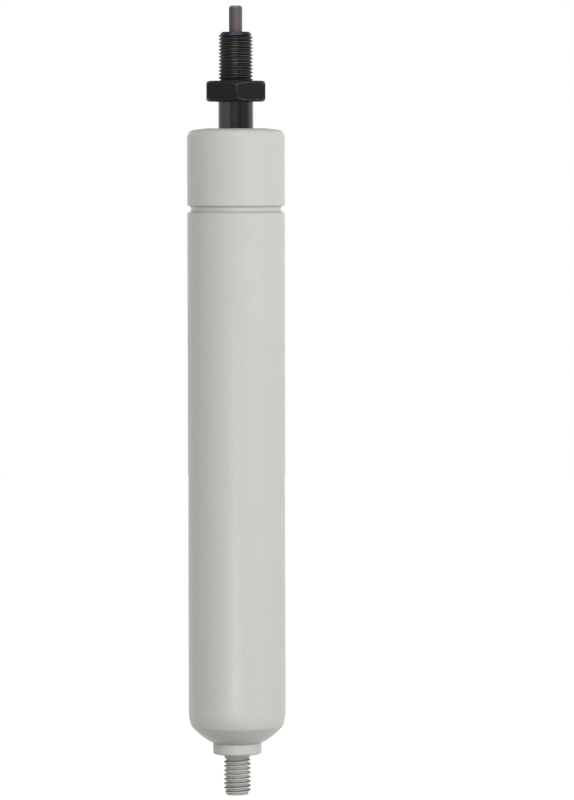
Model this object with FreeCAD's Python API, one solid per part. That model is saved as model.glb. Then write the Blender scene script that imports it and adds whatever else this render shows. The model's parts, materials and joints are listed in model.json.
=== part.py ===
"""Lockable gas spring with a pin release, modelled piece by piece in millimetres.

The spring stands upright, rod end up, with its axis on +Z. The origin is on the axis, on the
seat of the end stud: the underside of the collar that meets the bracket. The rod is pushed right
in and locked, so that only its bare neck, its thread, the lock nut and the release pin show.

Every round piece is a half-section, drawn as radius and height and turned about the axis.
"""
import FreeCAD, Part
import math
import os

# Pressure tube
TUBE_DIAMETER = 28.0
TUBE_WALL = 1.5
SHOULDER_RADIUS = 2.0
RIM_HOLE_DIAMETER = 15.0
RIM_SLOPE = 6.0
RIM_LIP_RADIUS = 0.6
RIM_INSIDE_RADIUS = 0.4
GROOVE_DROP = 23.25
GROOVE_WIDTH = 2.6
GROOVE_DEPTH = 1.1
GROOVE_SHOULDER_RADIUS = 0.45
BEND_RADIUS = 12.5
BEND_ANGLE = 20.0
KNUCKLE_RADIUS = 1.5
CROWN_RADIUS = 20.0
CROWN_HEIGHT = 4.94

# End stud, M8
COLLAR_DIAMETER = 14.0
COLLAR_HEIGHT = 3.2
COLLAR_EDGE_RADIUS = 0.6
COLLAR_WELD_RADIUS = 0.45
STUD_DIAMETER = 8.0
STUD_LENGTH = 11.8
STUD_TIP_INSET = 1.0
STUD_TIP_LENGTH = 1.5
WELD_SPIGOT_DIAMETER = 9.0

# Piston rod, M10 x 1
ROD_DIAMETER = 10.0
ROD_BARE_LENGTH = 7.6
ROD_SHOULDER_WIDTH = 1.0
ROD_SPIGOT_LENGTH = 8.0
THREAD_RELIEF = 0.06
THREAD_FREE_LENGTH = 14.0
THREAD_PITCH = 1.0
THREAD_ROOT_DEPTH = 0.5
THREAD_CHAMFER = 1.1
BORE_MOUTH_CHAMFER = 0.25

# Lock nut
NUT_ACROSS_FLATS = 17.0
NUT_HEIGHT = 6.0
NUT_FACE_INSET = 0.6
NUT_CHAMFER_ANGLE = 30.0
NUT_COUNTERSINK_WIDTH = 0.5

# Release pin and how far it is pressed
PIN_DIAMETER = 3.8
PIN_PROJECTION = 7.6
PIN_EDGE_RADIUS = 0.7
PIN_TRAVEL = 3.0

# Lengths along the tube, from the spun end upwards: gas, floating piston, room for the valve, stroke
GAS_LENGTH = 34.27
SEPARATOR_LENGTH = 12.0
SEPARATOR_GAP = 2.0
STROKE = 80.0
STOP_GAP = 0.5

# Guide and seals
GUIDE_NOSE_RECESS = 0.4
GUIDE_LIP_HEIGHT = 2.4
GUIDE_CHAMFER = 0.7
BEARING_WALL = 0.75
O_RING_SECTION = 2.0
SEAL_HEIGHT = 4.6
SEAL_WIDTH = 4.0
SEAL_HEEL_HEIGHT = 1.8
SEAL_LIP_THICKNESS = 1.3
SUPPORT_HEIGHT = 2.0

# Piston
PISTON_CLEARANCE = 0.3
PISTON_EDGE_CHAMFER = 0.6
PISTON_SEAL_SECTION = 2.4
PISTON_SEAL_DROP = 5.6
GLIDE_RING_HEIGHT = 5.0
GLIDE_RING_THICKNESS = 1.4
GLIDE_RING_RISE = 3.0
PASSAGE_DIAMETER = 2.0
PASSAGE_COUNT = 4

# Release valve inside the piston
VALVE_SEAL_SECTION = 2.2
SPACER_HEIGHT = 3.4
SPACER_WAIST_DEPTH = 0.6
SPACER_HOLE_DIAMETER = 1.4
SPACER_HOLE_COUNT = 4
RETAINER_HEIGHT = 4.0
RETAINER_FLANGE_HEIGHT = 2.0
RETAINER_FLANGE_WIDTH = 1.4
RETAINER_LIP_HEIGHT = 0.7
VALVE_HEAD_WIDTH = 0.7
VALVE_WAIST_DEPTH = 0.55
VALVE_STEM_RISE = 4.0

# Separating piston
SEPARATOR_CLEARANCE = 0.15
SEPARATOR_EDGE_CHAMFER = 0.8
SEPARATOR_SEAL_SECTION = 2.6
SEPARATOR_CROWN = 3.0
SEPARATOR_SKIN = 1.5

# Clearances: pieces that stay put, rings on what they run on, the pin in the rod, the nut on its thread
FIT = 0.02
RUNNING = 0.06
PIN_CLEARANCE = 0.1
NUT_CLEARANCE = 0.05

# Radii that several pieces share
TUBE_RADIUS = TUBE_DIAMETER / 2
BORE_RADIUS = TUBE_RADIUS - TUBE_WALL
RIM_HOLE_RADIUS = RIM_HOLE_DIAMETER / 2
COLLAR_RADIUS = COLLAR_DIAMETER / 2
WELD_SPIGOT_RADIUS = WELD_SPIGOT_DIAMETER / 2
ROD_RADIUS = ROD_DIAMETER / 2
ROD_SPIGOT_RADIUS = ROD_RADIUS - ROD_SHOULDER_WIDTH
THREAD_RADIUS = ROD_RADIUS - THREAD_RELIEF
PIN_RADIUS = PIN_DIAMETER / 2
BEARING_RADIUS = ROD_RADIUS + RUNNING + BEARING_WALL
SEAL_RADIUS = ROD_RADIUS + RUNNING + SEAL_WIDTH
PACKAGE_RADIUS = BORE_RADIUS - FIT
PISTON_RADIUS = BORE_RADIUS - PISTON_CLEARANCE
VALVE_BORE_RADIUS = PIN_RADIUS + RUNNING + VALVE_SEAL_SECTION
RETAINER_FLANGE_RADIUS = VALVE_BORE_RADIUS + RETAINER_FLANGE_WIDTH
VALVE_HEAD_RADIUS = PIN_RADIUS + VALVE_HEAD_WIDTH

# The rolled groove is three arcs that meet tangent, each turning by the flank angle
GROOVE_FLANK = 2 * math.atan(2 * GROOVE_DEPTH / GROOVE_WIDTH)
GROOVE_ROOT_RADIUS = GROOVE_DEPTH / (1 - math.cos(GROOVE_FLANK)) - GROOVE_SHOULDER_RADIUS
BEAD_RADIUS = GROOVE_ROOT_RADIUS + TUBE_WALL
BEAD_HALF_HEIGHT = math.sqrt(BEAD_RADIUS**2 - (BEAD_RADIUS - GROOVE_DEPTH) ** 2)

# Heights inside the tube with the rod pushed in, stacked from the spun end to the rim
Z_FOOT = COLLAR_HEIGHT
Z_SEPARATOR_BOTTOM = Z_FOOT + GAS_LENGTH
Z_SEPARATOR_TOP = Z_SEPARATOR_BOTTOM + SEPARATOR_LENGTH
Z_PISTON_BOTTOM = Z_SEPARATOR_TOP + SEPARATOR_GAP + PIN_TRAVEL
Z_RETAINER_TOP = Z_PISTON_BOTTOM + RETAINER_HEIGHT
Z_SEAT_SEAL = Z_RETAINER_TOP + FIT
Z_SPACER = Z_SEAT_SEAL + VALVE_SEAL_SECTION + FIT
Z_SPACER_TOP = Z_SPACER + SPACER_HEIGHT
Z_STEM_SEAL = Z_SPACER_TOP + FIT
Z_ROD_FOOT = Z_STEM_SEAL + VALVE_SEAL_SECTION + FIT
Z_VALVE_TOP = Z_ROD_FOOT + VALVE_STEM_RISE
Z_PISTON_TOP = Z_ROD_FOOT + ROD_SPIGOT_LENGTH
Z_GROOVE = Z_PISTON_TOP + STROKE + STOP_GAP + BEAD_HALF_HEIGHT
Z_SUPPORT = Z_GROOVE + BEAD_HALF_HEIGHT + FIT
Z_GUIDE = Z_SUPPORT + SUPPORT_HEIGHT + FIT
Z_SEAL_TOP = Z_GUIDE + SEAL_HEIGHT
Z_TOP = Z_GROOVE + GROOVE_DROP

# Heights above the tube
Z_NUT_BOTTOM = Z_TOP + ROD_BARE_LENGTH
Z_NUT_TOP = Z_NUT_BOTTOM + NUT_HEIGHT
Z_ROD_END = Z_NUT_TOP + THREAD_FREE_LENGTH
Z_PIN_END = Z_ROD_END + PIN_PROJECTION

# Feet of the ring grooves
Z_GUIDE_O_RING = (Z_SEAL_TOP + Z_TOP - TUBE_WALL - O_RING_SECTION) / 2
Z_PISTON_SEAL = Z_PISTON_TOP - PISTON_SEAL_DROP
Z_GLIDE_RING = Z_PISTON_BOTTOM + GLIDE_RING_RISE
Z_SEPARATOR_SEAL = Z_SEPARATOR_TOP - SEPARATOR_CROWN - SEPARATOR_SEAL_SECTION / 2

AXIS_FOOT = FreeCAD.Vector(0, 0, 0)
UP = FreeCAD.Vector(0, 0, 1)
OUT = FreeCAD.Vector(1, 0, 0)


def point(radius, height):
    """A point of a half-section: its distance from the axis and its height."""
    return FreeCAD.Vector(radius, 0, height)


def on_circle(centre, size, angle):
    """The point of a circle in the half-section's plane at an angle in degrees, 0 pointing outwards."""
    turn = math.radians(angle)
    return point(centre.x + size * math.cos(turn), centre.z + size * math.sin(turn))


def angle_from(centre, end):
    """The angle in degrees at which a point lies from a centre, in the half-section's plane."""
    return math.degrees(math.atan2(end.z - centre.z, end.x - centre.x))


class HalfSection:
    """A closed outline beside the axis, drawn edge by edge and turned into a solid."""

    def __init__(self, radius, height):
        self.start = point(radius, height)
        self.at = self.start
        self.edges = []

    def line(self, radius, height):
        """Draws a straight edge to a radius and a height."""
        end = point(radius, height)
        self.edges.append(Part.LineSegment(self.at, end).toShape())
        self.at = end
        return self

    def arc(self, centre, size, first, last):
        """Draws an arc about a centre, from one angle to another in degrees."""
        middle = on_circle(centre, size, (first + last) / 2)
        end = on_circle(centre, size, last)
        self.edges.append(Part.Arc(self.at, middle, end).toShape())
        self.at = end
        return self

    def turned(self):
        """Closes the outline and turns it once round the axis."""
        self.line(self.start.x, self.start.z)
        return Part.Face(Part.Wire(self.edges)).revolve(AXIS_FOOT, UP, 360)


def arc_centre(low, high, size):
    """The centre of the arc of a given radius that bulges down and out between two points."""
    across = high - low
    half = across.Length / 2
    inwards = FreeCAD.Vector(-across.z, 0, across.x) / across.Length
    return (low + high) / 2 + inwards * math.sqrt(size**2 - half**2)


def outer_meeting(one, one_size, other, other_size):
    """Where two circles meet, on the side that lies further from the axis."""
    gap = other.distanceToPoint(one)
    along = (gap**2 + one_size**2 - other_size**2) / (2 * gap)
    aside = math.sqrt(one_size**2 - along**2)
    way = (other - one) / gap
    side = FreeCAD.Vector(-way.z, 0, way.x) * aside
    return max((one + way * along + side, one + way * along - side), key=lambda end: end.x)


def rim_height(radius, depth):
    """The height of the rim's sloping top at a radius, or of a line at a depth under it."""
    tilt = math.radians(RIM_SLOPE)
    lip = math.sin(tilt) * (RIM_HOLE_RADIUS + RIM_LIP_RADIUS) + math.cos(tilt) * (Z_TOP - RIM_LIP_RADIUS)
    return (lip + RIM_LIP_RADIUS - depth - math.sin(tilt) * radius) / math.cos(tilt)


def ring(inside, outside, low, high):
    """A plain ring between two radii and two heights."""
    section = HalfSection(inside, low)
    section.line(outside, low)
    section.line(outside, high)
    section.line(inside, high)
    return section.turned()


def o_ring(inside, section, low):
    """A ring of round section that stands on a height."""
    half = section / 2
    return Part.makeTorus(inside + half, half, point(0, low + half), UP)


def around(shape, count):
    """Copies of a shape, spread evenly round the axis."""
    copies = []
    for index in range(count):
        copy = shape.copy()
        copy.rotate(AXIS_FOOT, UP, 360 * index / count)
        copies.append(copy)
    return copies


def pressure_tube():
    """The tube: rolled-in rim, rolled groove with its bead inside, and the end spun down to the collar."""
    foot = point(COLLAR_RADIUS, Z_FOOT)
    turn = math.radians(BEND_ANGLE)
    bend_x = TUBE_RADIUS - BEND_RADIUS
    knuckle = point(bend_x + BEND_RADIUS * math.cos(turn), Z_FOOT + CROWN_HEIGHT)
    bend = point(bend_x, knuckle.z + BEND_RADIUS * math.sin(turn))
    crown = arc_centre(foot, knuckle, CROWN_RADIUS)
    inner_bend = BEND_RADIUS - TUBE_WALL
    inner_crown = CROWN_RADIUS - TUBE_WALL
    inner_knuckle = outer_meeting(bend, inner_bend, crown, inner_crown)
    round_off = outer_meeting(bend, BEND_RADIUS - KNUCKLE_RADIUS, crown, CROWN_RADIUS - KNUCKLE_RADIUS)
    z_floor = Z_FOOT + TUBE_WALL
    floor = point(crown.x + math.sqrt(inner_crown**2 - (crown.z - z_floor) ** 2), z_floor)
    hole = WELD_SPIGOT_RADIUS + FIT

    flank = math.degrees(GROOVE_FLANK)
    groove_x = TUBE_RADIUS - GROOVE_SHOULDER_RADIUS
    groove_upper = point(groove_x, Z_GROOVE + GROOVE_WIDTH / 2)
    groove_lower = point(groove_x, Z_GROOVE - GROOVE_WIDTH / 2)
    groove_root = point(TUBE_RADIUS - GROOVE_DEPTH + GROOVE_ROOT_RADIUS, Z_GROOVE)
    bead_top = angle_from(groove_root, point(BORE_RADIUS, Z_GROOVE + BEAD_HALF_HEIGHT))

    lip = point(RIM_HOLE_RADIUS + RIM_LIP_RADIUS, Z_TOP - RIM_LIP_RADIUS)
    shoulder_x = TUBE_RADIUS - SHOULDER_RADIUS
    shoulder = point(shoulder_x, rim_height(shoulder_x, SHOULDER_RADIUS))
    inside_x = BORE_RADIUS - RIM_INSIDE_RADIUS
    inside = point(inside_x, rim_height(inside_x, TUBE_WALL + RIM_INSIDE_RADIUS))
    rim_face = 90 - RIM_SLOPE

    section = HalfSection(RIM_HOLE_RADIUS, rim_height(RIM_HOLE_RADIUS, TUBE_WALL))
    section.line(RIM_HOLE_RADIUS, lip.z)
    section.arc(lip, RIM_LIP_RADIUS, 180, rim_face)
    top_edge = on_circle(shoulder, SHOULDER_RADIUS, rim_face)
    section.line(top_edge.x, top_edge.z)
    section.arc(shoulder, SHOULDER_RADIUS, rim_face, 0)
    section.line(TUBE_RADIUS, groove_upper.z)
    section.arc(groove_upper, GROOVE_SHOULDER_RADIUS, 0, -flank)
    section.arc(groove_root, GROOVE_ROOT_RADIUS, 180 - flank, 180 + flank)
    section.arc(groove_lower, GROOVE_SHOULDER_RADIUS, flank, 0)
    section.line(TUBE_RADIUS, bend.z)
    section.arc(bend, BEND_RADIUS, 0, angle_from(bend, round_off))
    section.arc(round_off, KNUCKLE_RADIUS, angle_from(bend, round_off), angle_from(crown, round_off))
    section.arc(crown, CROWN_RADIUS, angle_from(crown, round_off), angle_from(crown, foot))
    section.line(hole, Z_FOOT)
    section.line(hole, z_floor)
    section.line(floor.x, z_floor)
    section.arc(crown, inner_crown, angle_from(crown, floor), angle_from(crown, inner_knuckle))
    section.arc(bend, inner_bend, angle_from(bend, inner_knuckle), 0)
    section.line(BORE_RADIUS, Z_GROOVE - BEAD_HALF_HEIGHT)
    section.arc(groove_root, BEAD_RADIUS, 360 - bead_top, bead_top)
    section.line(BORE_RADIUS, inside.z)
    section.arc(inside, RIM_INSIDE_RADIUS, 0, rim_face)
    return section.turned()


def end_stud():
    """The stud with its collar, and the spigot by which it is welded into the tube's end."""
    stud = STUD_DIAMETER / 2
    edge = point(COLLAR_RADIUS - COLLAR_EDGE_RADIUS, COLLAR_EDGE_RADIUS)
    weld = point(COLLAR_RADIUS - COLLAR_WELD_RADIUS, Z_FOOT - COLLAR_WELD_RADIUS)
    z_spigot = Z_FOOT + TUBE_WALL
    section = HalfSection(0, -STUD_LENGTH)
    section.line(stud - STUD_TIP_INSET, -STUD_LENGTH)
    section.line(stud, STUD_TIP_LENGTH - STUD_LENGTH)
    section.line(stud, 0)
    section.line(edge.x, 0)
    section.arc(edge, COLLAR_EDGE_RADIUS, -90, 0)
    section.line(COLLAR_RADIUS, weld.z)
    section.arc(weld, COLLAR_WELD_RADIUS, 0, 90)
    section.line(WELD_SPIGOT_RADIUS, Z_FOOT)
    section.line(WELD_SPIGOT_RADIUS, z_spigot)
    section.line(0, z_spigot)
    return section.turned()


def guide_bush():
    """The rod guide: its nose in the rim's hole, the bearing's seat inside, the rod seal's pocket below."""
    nose = RIM_HOLE_RADIUS - RUNNING
    z_nose = Z_TOP - GUIDE_NOSE_RECESS
    z_lip = z_nose - GUIDE_LIP_HEIGHT
    under_rim = TUBE_WALL + FIT
    shoulder = PACKAGE_RADIUS - GUIDE_CHAMFER
    groove = BORE_RADIUS - RUNNING - O_RING_SECTION - FIT
    z_groove_top = Z_GUIDE_O_RING + O_RING_SECTION + FIT
    section = HalfSection(SEAL_RADIUS + FIT, Z_GUIDE)
    section.line(PACKAGE_RADIUS, Z_GUIDE)
    section.line(PACKAGE_RADIUS, Z_GUIDE_O_RING - FIT)
    section.line(groove, Z_GUIDE_O_RING - FIT)
    section.line(groove, z_groove_top)
    section.line(PACKAGE_RADIUS, z_groove_top)
    section.line(PACKAGE_RADIUS, rim_height(PACKAGE_RADIUS, under_rim) - GUIDE_CHAMFER)
    section.line(shoulder, rim_height(shoulder, under_rim))
    section.line(nose, rim_height(nose, under_rim))
    section.line(nose, z_nose)
    section.line(ROD_RADIUS + 2 * RUNNING, z_nose)
    section.line(ROD_RADIUS + 2 * RUNNING, z_lip)
    section.line(BEARING_RADIUS + FIT, z_lip)
    section.line(BEARING_RADIUS + FIT, Z_SEAL_TOP + FIT)
    section.line(SEAL_RADIUS + FIT, Z_SEAL_TOP + FIT)
    return section.turned()


def guide_bearing():
    """The plain bearing in which the rod runs, held between the guide's lip and the rod seal."""
    high = Z_TOP - GUIDE_NOSE_RECESS - GUIDE_LIP_HEIGHT - FIT
    return ring(ROD_RADIUS + RUNNING, BEARING_RADIUS, Z_SEAL_TOP + FIT, high)


def guide_o_ring():
    """The ring that seals the guide to the tube."""
    return o_ring(BORE_RADIUS - RUNNING - O_RING_SECTION, O_RING_SECTION, Z_GUIDE_O_RING)


def rod_seal():
    """The cup seal on the rod: a solid heel above, two lips open to the pressure below."""
    inside = ROD_RADIUS + RUNNING
    lip = SEAL_LIP_THICKNESS
    z_heel = Z_SEAL_TOP - SEAL_HEEL_HEIGHT
    section = HalfSection(inside, Z_GUIDE)
    section.line(inside + lip / 2, Z_GUIDE)
    section.line(inside + lip, z_heel)
    section.line(SEAL_RADIUS - lip, z_heel)
    section.line(SEAL_RADIUS - lip / 2, Z_GUIDE)
    section.line(SEAL_RADIUS, Z_GUIDE)
    section.line(SEAL_RADIUS, Z_SEAL_TOP)
    section.line(inside + lip / 2, Z_SEAL_TOP)
    section.line(inside, z_heel)
    return section.turned()


def seal_support_ring():
    """The washer that carries the guide and the seal on the bead of the rolled groove."""
    return ring(ROD_RADIUS + 2 * RUNNING, PACKAGE_RADIUS, Z_SUPPORT, Z_SUPPORT + SUPPORT_HEIGHT)


def piston_rod():
    """The hollow rod: a spigot for the piston below, the thread and the pin's mouth above."""
    bore = PIN_RADIUS + PIN_CLEARANCE
    half_pitch = THREAD_PITCH / 2
    section = HalfSection(bore, Z_ROD_FOOT)
    section.line(ROD_SPIGOT_RADIUS, Z_ROD_FOOT)
    section.line(ROD_SPIGOT_RADIUS, Z_PISTON_TOP)
    section.line(ROD_RADIUS, Z_PISTON_TOP)
    section.line(ROD_RADIUS, Z_NUT_BOTTOM)
    section.line(THREAD_RADIUS, Z_NUT_BOTTOM)
    section.line(THREAD_RADIUS, Z_NUT_TOP - half_pitch)
    section.line(THREAD_RADIUS - THREAD_ROOT_DEPTH, Z_NUT_TOP)
    section.line(THREAD_RADIUS, Z_NUT_TOP + half_pitch)
    section.line(THREAD_RADIUS, Z_ROD_END - THREAD_CHAMFER)
    section.line(THREAD_RADIUS - THREAD_CHAMFER, Z_ROD_END)
    section.line(bore + BORE_MOUTH_CHAMFER, Z_ROD_END)
    section.line(bore, Z_ROD_END - BORE_MOUTH_CHAMFER)
    return section.turned()


def lock_nut():
    """The thin hexagon nut, chamfered on both faces, one corner towards the front."""
    corner = NUT_ACROSS_FLATS / math.sqrt(3)
    corners = []
    for index in range(7):
        turn = math.radians(60 * index - 90)
        corners.append(FreeCAD.Vector(corner * math.cos(turn), corner * math.sin(turn), Z_NUT_BOTTOM))
    prism = Part.Face(Part.makePolygon(corners)).extrude(UP * NUT_HEIGHT)

    face = NUT_ACROSS_FLATS / 2 - NUT_FACE_INSET
    drop = (corner - face) * math.tan(math.radians(NUT_CHAMFER_ANGLE))
    blank = HalfSection(0, Z_NUT_BOTTOM)
    blank.line(face, Z_NUT_BOTTOM)
    blank.line(corner, Z_NUT_BOTTOM + drop)
    blank.line(corner, Z_NUT_TOP - drop)
    blank.line(face, Z_NUT_TOP)
    blank.line(0, Z_NUT_TOP)

    bore = THREAD_RADIUS + NUT_CLEARANCE
    sink = bore + NUT_COUNTERSINK_WIDTH
    hole = HalfSection(0, Z_NUT_BOTTOM)
    hole.line(sink, Z_NUT_BOTTOM)
    hole.line(bore, Z_NUT_BOTTOM + NUT_COUNTERSINK_WIDTH)
    hole.line(bore, Z_NUT_TOP - NUT_COUNTERSINK_WIDTH)
    hole.line(sink, Z_NUT_TOP)
    hole.line(0, Z_NUT_TOP)
    return prism.common(blank.turned()).cut(hole.turned())


def release_pin():
    """The long pin through the rod that opens the valve when its end is pressed."""
    edge = point(PIN_RADIUS - PIN_EDGE_RADIUS, Z_PIN_END - PIN_EDGE_RADIUS)
    section = HalfSection(0, Z_VALVE_TOP)
    section.line(PIN_RADIUS, Z_VALVE_TOP)
    section.line(PIN_RADIUS, edge.z)
    section.arc(edge, PIN_EDGE_RADIUS, 0, 90)
    section.line(0, Z_PIN_END)
    return section.turned()


def valve_pin():
    """The valve: a head under the seat's lip, and a waist that opens the way when it is pushed down."""
    step = VALVE_WAIST_DEPTH
    waist = PIN_RADIUS - step
    z_low = Z_PISTON_BOTTOM + RUNNING
    z_head = Z_RETAINER_TOP - RETAINER_LIP_HEIGHT - RUNNING
    section = HalfSection(0, z_low)
    section.line(VALVE_HEAD_RADIUS - step, z_low)
    section.line(VALVE_HEAD_RADIUS, z_low + step)
    section.line(VALVE_HEAD_RADIUS, z_head - VALVE_HEAD_WIDTH)
    section.line(PIN_RADIUS, z_head)
    section.line(PIN_RADIUS, Z_SPACER - step)
    section.line(waist, Z_SPACER)
    section.line(waist, Z_SPACER_TOP - step)
    section.line(PIN_RADIUS, Z_SPACER_TOP)
    section.line(PIN_RADIUS, Z_VALVE_TOP)
    section.line(0, Z_VALVE_TOP)
    return section.turned()


def piston_body():
    """The piston: ring grooves outside, the valve's bore inside, slanted oil passages between."""
    chamfer = PISTON_EDGE_CHAMFER
    seal_root = BORE_RADIUS - 2 * RUNNING - PISTON_SEAL_SECTION
    z_seal_top = Z_PISTON_SEAL + PISTON_SEAL_SECTION + RUNNING
    glide_root = BORE_RADIUS - 2 * RUNNING - GLIDE_RING_THICKNESS
    z_glide_top = Z_GLIDE_RING + GLIDE_RING_HEIGHT + RUNNING
    z_flange = Z_PISTON_BOTTOM + RETAINER_FLANGE_HEIGHT + FIT
    section = HalfSection(RETAINER_FLANGE_RADIUS, Z_PISTON_BOTTOM)
    section.line(PISTON_RADIUS - chamfer, Z_PISTON_BOTTOM)
    section.line(PISTON_RADIUS, Z_PISTON_BOTTOM + chamfer)
    section.line(PISTON_RADIUS, Z_GLIDE_RING - RUNNING)
    section.line(glide_root, Z_GLIDE_RING - RUNNING)
    section.line(glide_root, z_glide_top)
    section.line(PISTON_RADIUS, z_glide_top)
    section.line(PISTON_RADIUS, Z_PISTON_SEAL - RUNNING)
    section.line(seal_root, Z_PISTON_SEAL - RUNNING)
    section.line(seal_root, z_seal_top)
    section.line(PISTON_RADIUS, z_seal_top)
    section.line(PISTON_RADIUS, Z_PISTON_TOP - chamfer)
    section.line(PISTON_RADIUS - chamfer, Z_PISTON_TOP)
    section.line(ROD_SPIGOT_RADIUS + FIT, Z_PISTON_TOP)
    section.line(ROD_SPIGOT_RADIUS + FIT, Z_ROD_FOOT)
    section.line(VALVE_BORE_RADIUS + FIT, Z_ROD_FOOT)
    section.line(VALVE_BORE_RADIUS + FIT, z_flange)
    section.line(RETAINER_FLANGE_RADIUS, z_flange)

    start = point(PIN_RADIUS, (Z_SPACER + Z_SPACER_TOP) / 2)
    way = point((ROD_RADIUS + PISTON_RADIUS) / 2, Z_PISTON_TOP) - start
    passage = Part.makeCylinder(PASSAGE_DIAMETER / 2, way.Length + PASSAGE_DIAMETER, start, way)
    return section.turned().cut(around(passage, PASSAGE_COUNT))


def piston_seal():
    """The ring that seals the piston to the tube."""
    return o_ring(BORE_RADIUS - RUNNING - PISTON_SEAL_SECTION, PISTON_SEAL_SECTION, Z_PISTON_SEAL)


def piston_guide_ring():
    """The glide ring that centres the piston in the tube."""
    outside = BORE_RADIUS - RUNNING
    return ring(outside - GLIDE_RING_THICKNESS, outside, Z_GLIDE_RING, Z_GLIDE_RING + GLIDE_RING_HEIGHT)


def valve_stem_seal():
    """The ring that seals the valve's stem under the rod."""
    return o_ring(PIN_RADIUS + RUNNING, VALVE_SEAL_SECTION, Z_STEM_SEAL)


def valve_spacer():
    """The waisted sleeve between the two valve seals, drilled for the oil."""
    inside = PIN_RADIUS + SPACER_WAIST_DEPTH
    waist = VALVE_BORE_RADIUS - SPACER_WAIST_DEPTH
    section = HalfSection(inside, Z_SPACER)
    section.line(VALVE_BORE_RADIUS, Z_SPACER)
    section.line(waist, Z_SPACER + SPACER_WAIST_DEPTH)
    section.line(waist, Z_SPACER_TOP - SPACER_WAIST_DEPTH)
    section.line(VALVE_BORE_RADIUS, Z_SPACER_TOP)
    section.line(inside, Z_SPACER_TOP)
    middle = point(0, (Z_SPACER + Z_SPACER_TOP) / 2)
    hole = Part.makeCylinder(SPACER_HOLE_DIAMETER / 2, VALVE_BORE_RADIUS, middle, OUT)
    return section.turned().cut(around(hole, SPACER_HOLE_COUNT))


def valve_seat_seal():
    """The ring that the valve's land closes."""
    return o_ring(PIN_RADIUS + RUNNING, VALVE_SEAL_SECTION, Z_SEAT_SEAL)


def valve_retainer():
    """The flanged plug that holds the valve's seals, with the seat's lip at its top."""
    flange = RETAINER_FLANGE_RADIUS - FIT
    head_room = VALVE_HEAD_RADIUS + 2 * RUNNING
    lip = PIN_RADIUS + 2 * RUNNING
    z_flange = Z_PISTON_BOTTOM + RETAINER_FLANGE_HEIGHT
    z_lip = Z_RETAINER_TOP - RETAINER_LIP_HEIGHT
    section = HalfSection(head_room, Z_PISTON_BOTTOM)
    section.line(flange, Z_PISTON_BOTTOM)
    section.line(flange, z_flange)
    section.line(VALVE_BORE_RADIUS, z_flange)
    section.line(VALVE_BORE_RADIUS, Z_RETAINER_TOP)
    section.line(lip, Z_RETAINER_TOP)
    section.line(lip, z_lip)
    section.line(head_room, z_lip)
    return section.turned()


def separator_piston():
    """The floating cup between the oil above and the gas below."""
    outside = BORE_RADIUS - SEPARATOR_CLEARANCE
    chamfer = SEPARATOR_EDGE_CHAMFER
    root = BORE_RADIUS - RUNNING - SEPARATOR_SEAL_SECTION - FIT
    z_groove_top = Z_SEPARATOR_SEAL + SEPARATOR_SEAL_SECTION + FIT
    inside = root - SEPARATOR_SKIN
    z_ceiling = Z_SEPARATOR_TOP - SEPARATOR_CROWN
    section = HalfSection(0, z_ceiling)
    section.line(inside, z_ceiling)
    section.line(inside, Z_SEPARATOR_BOTTOM)
    section.line(outside - chamfer, Z_SEPARATOR_BOTTOM)
    section.line(outside, Z_SEPARATOR_BOTTOM + chamfer)
    section.line(outside, Z_SEPARATOR_SEAL - FIT)
    section.line(root, Z_SEPARATOR_SEAL - FIT)
    section.line(root, z_groove_top)
    section.line(outside, z_groove_top)
    section.line(outside, Z_SEPARATOR_TOP - chamfer)
    section.line(outside - chamfer, Z_SEPARATOR_TOP)
    section.line(0, Z_SEPARATOR_TOP)
    return section.turned()


def separator_seal():
    """The ring that keeps the oil from the gas."""
    return o_ring(BORE_RADIUS - RUNNING - SEPARATOR_SEAL_SECTION, SEPARATOR_SEAL_SECTION, Z_SEPARATOR_SEAL)


PIECES = (
    pressure_tube,
    end_stud,
    guide_bush,
    guide_bearing,
    guide_o_ring,
    rod_seal,
    seal_support_ring,
    piston_rod,
    lock_nut,
    release_pin,
    valve_pin,
    piston_body,
    piston_seal,
    piston_guide_ring,
    valve_stem_seal,
    valve_spacer,
    valve_seat_seal,
    valve_retainer,
    separator_piston,
    separator_seal,
)


def main():
    """Writes each piece to its own STEP file."""
    os.makedirs("parts", exist_ok=True)
    for piece in PIECES:
        shape = piece()
        shape.exportStep(f"parts/{piece.__name__}.step")
        print(f"{piece.__name__}: {shape.Volume:.1f} mm3, valid {shape.isValid()}")
    print(f"tube top {Z_TOP:.3f}, rod end {Z_ROD_END:.3f}, pin end {Z_PIN_END:.3f}")


main()
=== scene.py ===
"""Looks of a lockable gas spring, built round its packed solids.

The painted tube, the end stud, the rod, the lock nut and the release pin are turned again as fine
meshes, with real threads and softened edges, where their solids stand. The pieces inside the tube
keep their solids and get finishes of their own. Sizes are in metres.
"""
import json
import math

import bpy
from bpy.props import FloatProperty, FloatVectorProperty, IntProperty, PointerProperty
from mathutils import Matrix, Vector

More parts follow.
